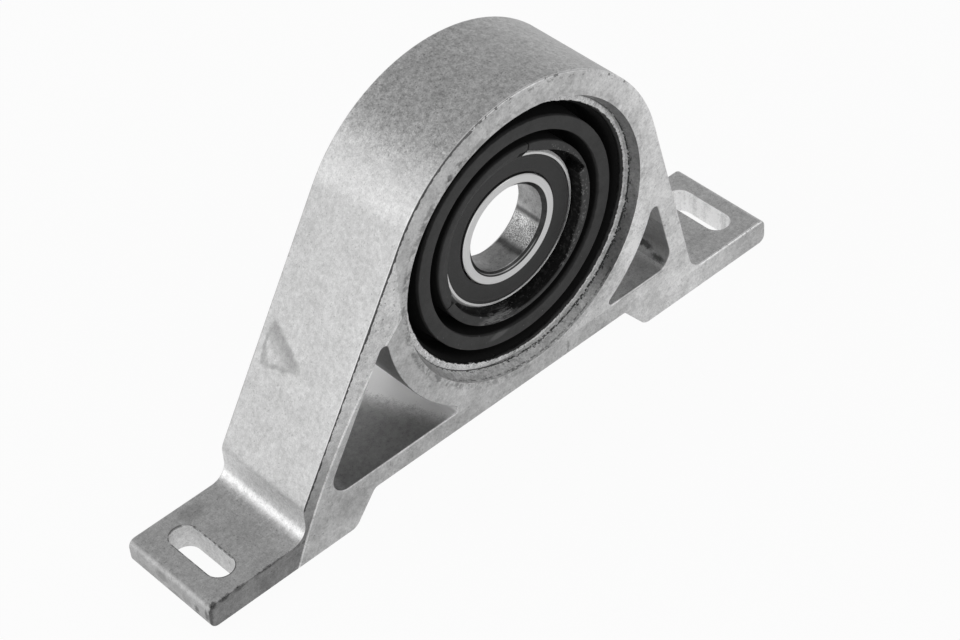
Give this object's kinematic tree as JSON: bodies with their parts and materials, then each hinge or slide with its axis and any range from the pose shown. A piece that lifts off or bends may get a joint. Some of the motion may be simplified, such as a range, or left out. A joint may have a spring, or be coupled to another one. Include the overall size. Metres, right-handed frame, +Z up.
{
  "type": "driveshaft centre bearing",
  "caption": "Arched aluminium bracket on two slotted feet holding a sealed ball bearing in a rubber mount, for the middle of a driveshaft.",
  "frame": {"origin": "centre of the ball bearing, on the shaft axis", "axes": "+X along the feet towards the shorter reach, +Y along the shaft from the front face to the rear, +Z up from the feet to the arch"},
  "size_m": [0.2433, 0.04, 0.1258],
  "materials": {
    "cast_aluminium": "sand-blasted, with milled faces",
    "sleeve_steel": "ragged bright edge",
    "mount_rubber": "moulded, matt",
    "bearing_steel": "ground",
    "seal_rubber": "smooth, satin",
    "cage_steel": "pressed sheet",
    "ball_steel": "polished"
  },
  "bodies": {
    "mount": {"bracket": "cast_aluminium", "outer_sleeve": "sleeve_steel", "rubber_mount": "mount_rubber", "outer_race": "bearing_steel", "front_seal": "seal_rubber", "rear_seal": "seal_rubber"},
    "inner_ring": {"inner_race": "bearing_steel"},
    "cage": {"cage_front": "cage_steel", "cage_rear": "cage_steel", "cage_rivets": "cage_steel"},
    "ball_01_body": {"ball_01": "ball_steel"},
    "ball_02_body": {"ball_02": "ball_steel"},
    "ball_03_body": {"ball_03": "ball_steel"},
    "ball_04_body": {"ball_04": "ball_steel"},
    "ball_05_body": {"ball_05": "ball_steel"},
    "ball_06_body": {"ball_06": "ball_steel"},
    "ball_07_body": {"ball_07": "ball_steel"},
    "ball_08_body": {"ball_08": "ball_steel"},
    "ball_09_body": {"ball_09": "ball_steel"},
    "ball_10_body": {"ball_10": "ball_steel"},
    "ball_11_body": {"ball_11": "ball_steel"}
  },
  "joints": [
    {"name": "inner_race_spin", "type": "hinge", "parent": "mount", "child": "inner_ring", "pos_m": [0, 0, 0], "axis": [0, 1, 0], "continuous": true},
    {"name": "cage_spin", "type": "hinge", "parent": "mount", "child": "cage", "pos_m": [0, 0, 0], "axis": [0, 1, 0], "continuous": true},
    {"name": "ball_01_spin", "type": "hinge", "parent": "cage", "child": "ball_01_body", "pos_m": [0.02125, 0, 0], "axis": [0, 1, 0], "continuous": true},
    {"name": "ball_02_spin", "type": "hinge", "parent": "cage", "child": "ball_02_body", "pos_m": [0.01788, 0, 0.01149], "axis": [0, 1, 0], "continuous": true},
    {"name": "ball_03_spin", "type": "hinge", "parent": "cage", "child": "ball_03_body", "pos_m": [0.00883, 0, 0.01933], "axis": [0, 1, 0], "continuous": true},
    {"name": "ball_04_spin", "type": "hinge", "parent": "cage", "child": "ball_04_body", "pos_m": [-0.00302, 0, 0.02103], "axis": [0, 1, 0], "continuous": true},
    {"name": "ball_05_spin", "type": "hinge", "parent": "cage", "child": "ball_05_body", "pos_m": [-0.01392, 0, 0.01606], "axis": [0, 1, 0], "continuous": true},
    {"name": "ball_06_spin", "type": "hinge", "parent": "cage", "child": "ball_06_body", "pos_m": [-0.02039, 0, 0.00599], "axis": [0, 1, 0], "continuous": true},
    {"name": "ball_07_spin", "type": "hinge", "parent": "cage", "child": "ball_07_body", "pos_m": [-0.02039, 0, -0.00599], "axis": [0, 1, 0], "continuous": true},
    {"name": "ball_08_spin", "type": "hinge", "parent": "cage", "child": "ball_08_body", "pos_m": [-0.01392, 0, -0.01606], "axis": [0, 1, 0], "continuous": true},
    {"name": "ball_09_spin", "type": "hinge", "parent": "cage", "child": "ball_09_body", "pos_m": [-0.00302, 0, -0.02103], "axis": [0, 1, 0], "continuous": true},
    {"name": "ball_10_spin", "type": "hinge", "parent": "cage", "child": "ball_10_body", "pos_m": [0.00883, 0, -0.01933], "axis": [0, 1, 0], "continuous": true},
    {"name": "ball_11_spin", "type": "hinge", "parent": "cage", "child": "ball_11_body", "pos_m": [0.01788, 0, -0.01149], "axis": [0, 1, 0], "continuous": true}
  ],
  "couplings": [
    {"joint": "cage_spin", "follows": "inner_race_spin", "ratio": 0.41595},
    {"joint": "ball_01_spin", "follows": "inner_race_spin", "ratio": -2.8905},
    {"joint": "ball_02_spin", "follows": "inner_race_spin", "ratio": -2.8905},
    {"joint": "ball_03_spin", "follows": "inner_race_spin", "ratio": -2.8905},
    {"joint": "ball_04_spin", "follows": "inner_race_spin", "ratio": -2.8905},
    {"joint": "ball_05_spin", "follows": "inner_race_spin", "ratio": -2.8905},
    {"joint": "ball_06_spin", "follows": "inner_race_spin", "ratio": -2.8905},
    {"joint": "ball_07_spin", "follows": "inner_race_spin", "ratio": -2.8905},
    {"joint": "ball_08_spin", "follows": "inner_race_spin", "ratio": -2.8905},
    {"joint": "ball_09_spin", "follows": "inner_race_spin", "ratio": -2.8905},
    {"joint": "ball_10_spin", "follows": "inner_race_spin", "ratio": -2.8905},
    {"joint": "ball_11_spin", "follows": "inner_race_spin", "ratio": -2.8905}
  ]
}
